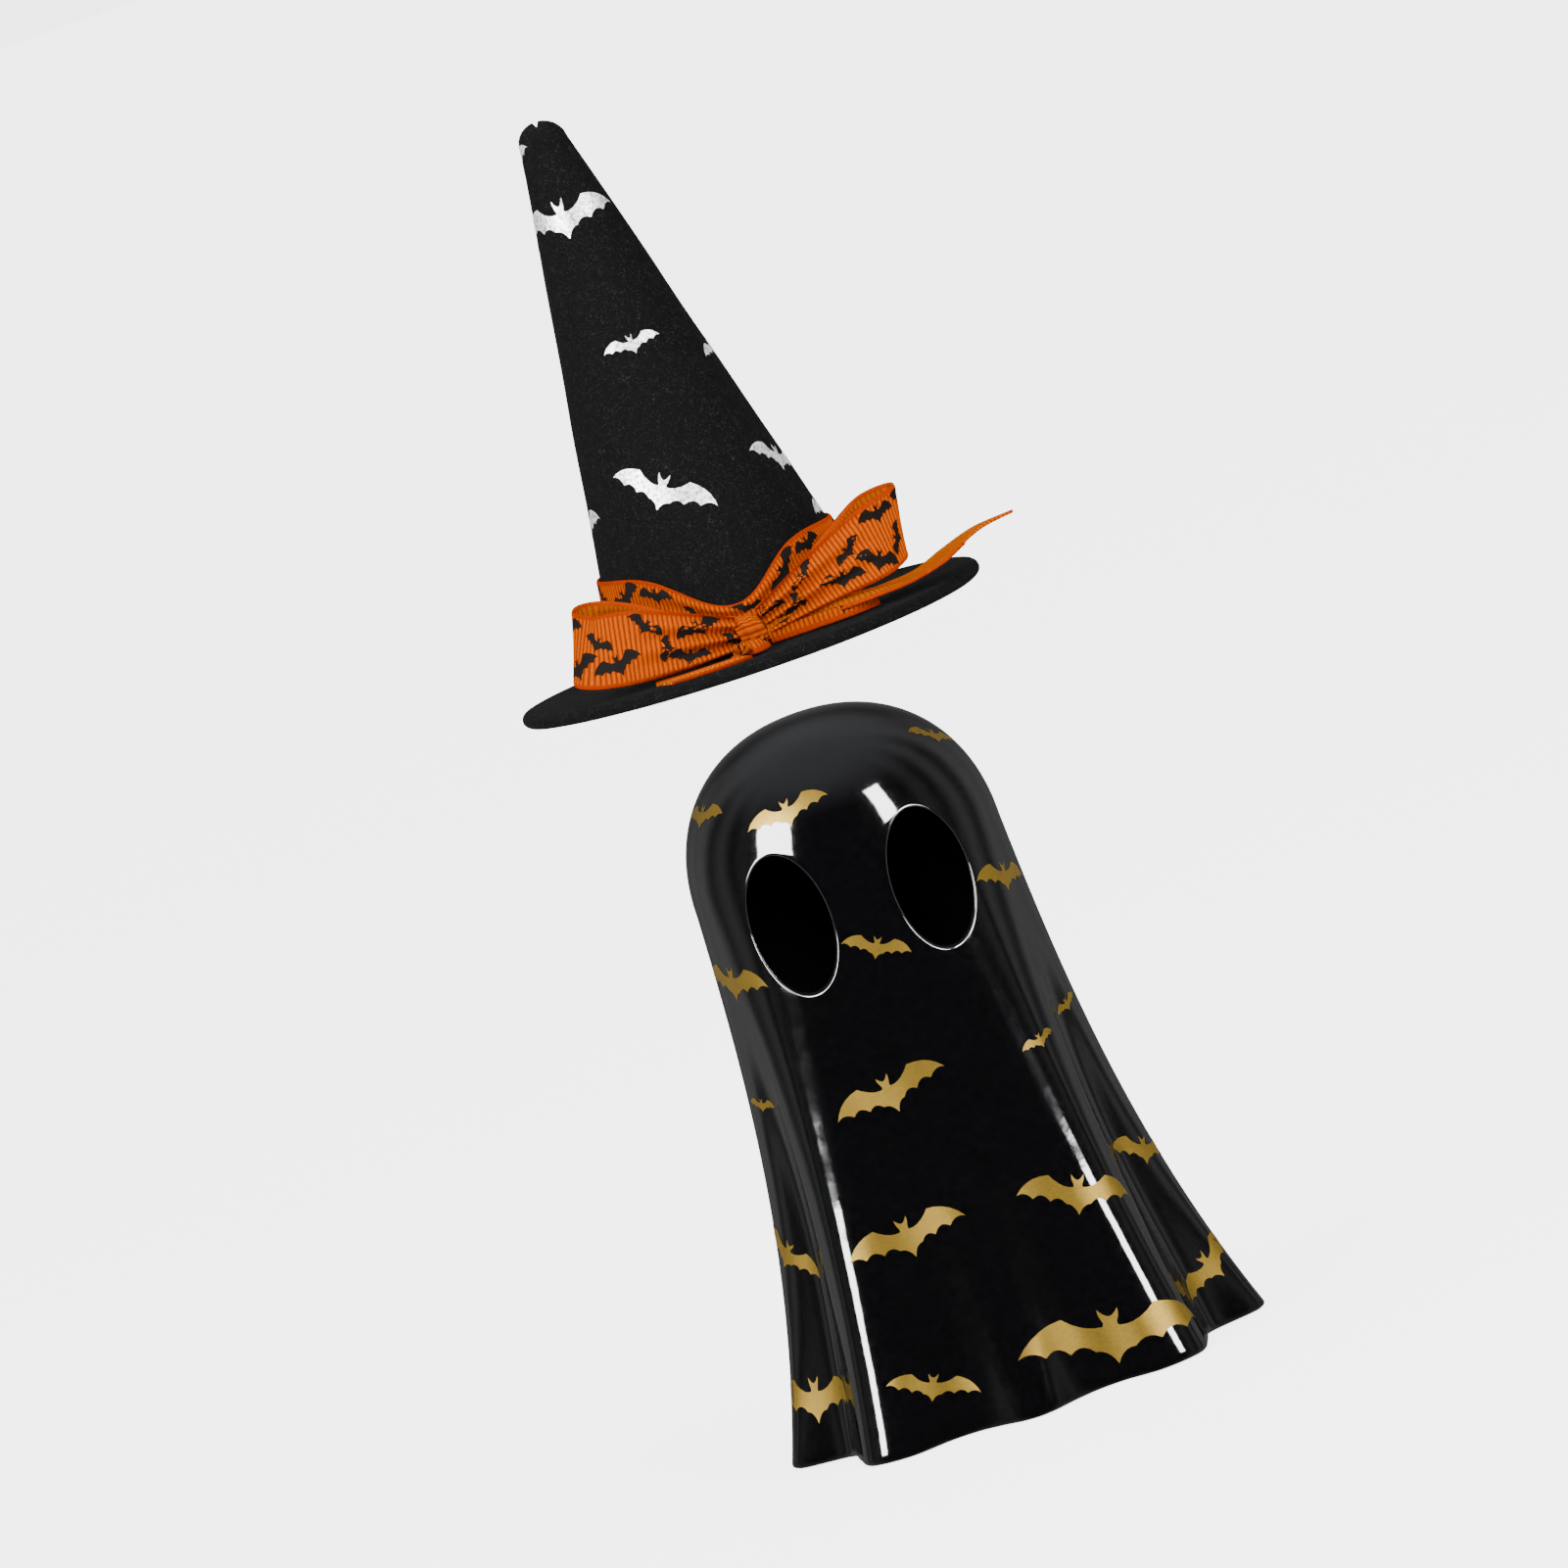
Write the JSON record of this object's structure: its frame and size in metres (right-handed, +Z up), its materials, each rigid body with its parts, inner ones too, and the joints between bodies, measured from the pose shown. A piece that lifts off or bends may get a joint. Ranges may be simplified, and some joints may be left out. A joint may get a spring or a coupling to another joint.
{
  "type": "light-up ghost figure",
  "caption": "Hollow glazed ceramic ghost with oval eye openings that stands over an electric tea light, with a lift-off felt witch hat and ribbon bow.",
  "frame": {"origin": "on the table, under the middle of the ghost's head, where the tea light's axis meets the surface that the ghost stands on", "axes": "+Z up, -Y out of the face between the eyes, +X to the right as seen from the front"},
  "size_m": [0.1177, 0.1064, 0.3017],
  "materials": {
    "black_glaze": "high gloss black glaze",
    "gold_decal": "satin gold lustre decal",
    "black_felt": "matt wool felt",
    "silver_foil": "crinkled silver-white foil print",
    "orange_ribbon": "grosgrain ribbon with a black bat print",
    "white_plastic": "moulded white plastic",
    "amber_plastic": "frosted translucent plastic",
    "led_epoxy": "clear tinted epoxy",
    "bright_steel": "nickel-plated steel",
    "dark_plastic": "moulded black plastic"
  },
  "bodies": {
    "tealight": {"tealight_cup": "white_plastic", "tealight_base": "white_plastic", "flame_lens": "amber_plastic", "led": "led_epoxy", "coin_cell": "bright_steel", "contact_top": "bright_steel", "contact_switch": "bright_steel", "led_lead_coin": "bright_steel", "led_lead_switch": "bright_steel"},
    "ghost": {"ghost_shell": "black_glaze"},
    "hat": {"hat_brim": "black_felt", "hat_cone": "black_felt", "ribbon_band": "orange_ribbon", "bow_knot": "orange_ribbon", "bow_loop_left": "orange_ribbon", "bow_loop_right": "orange_ribbon", "bow_tail_right": "orange_ribbon", "bow_end_right": "orange_ribbon", "bow_tail_left": "orange_ribbon"},
    "door": {"battery_door": "white_plastic"},
    "switch": {"switch_slider": "dark_plastic"}
  },
  "joints": [
    {"name": "ghost_lift", "type": "slide", "parent": "tealight", "child": "ghost", "axis": [0, 0, 1], "range_m": [0, 0.06]},
    {"name": "hat_lift", "type": "slide", "parent": "ghost", "child": "hat", "axis": [-0.1515, 0, 0.9885], "range_m": [-0.0277, 0.06]},
    {"name": "battery_door_turn", "type": "hinge", "parent": "tealight", "child": "door", "pos_m": [-0.0032, 0, 0.001], "axis": [0, 0, 1], "range_deg": [0, 58]},
    {"name": "switch_slide", "type": "slide", "parent": "tealight", "child": "switch", "axis": [0, 1, 0], "range_m": [0, 0.003]}
  ]
}
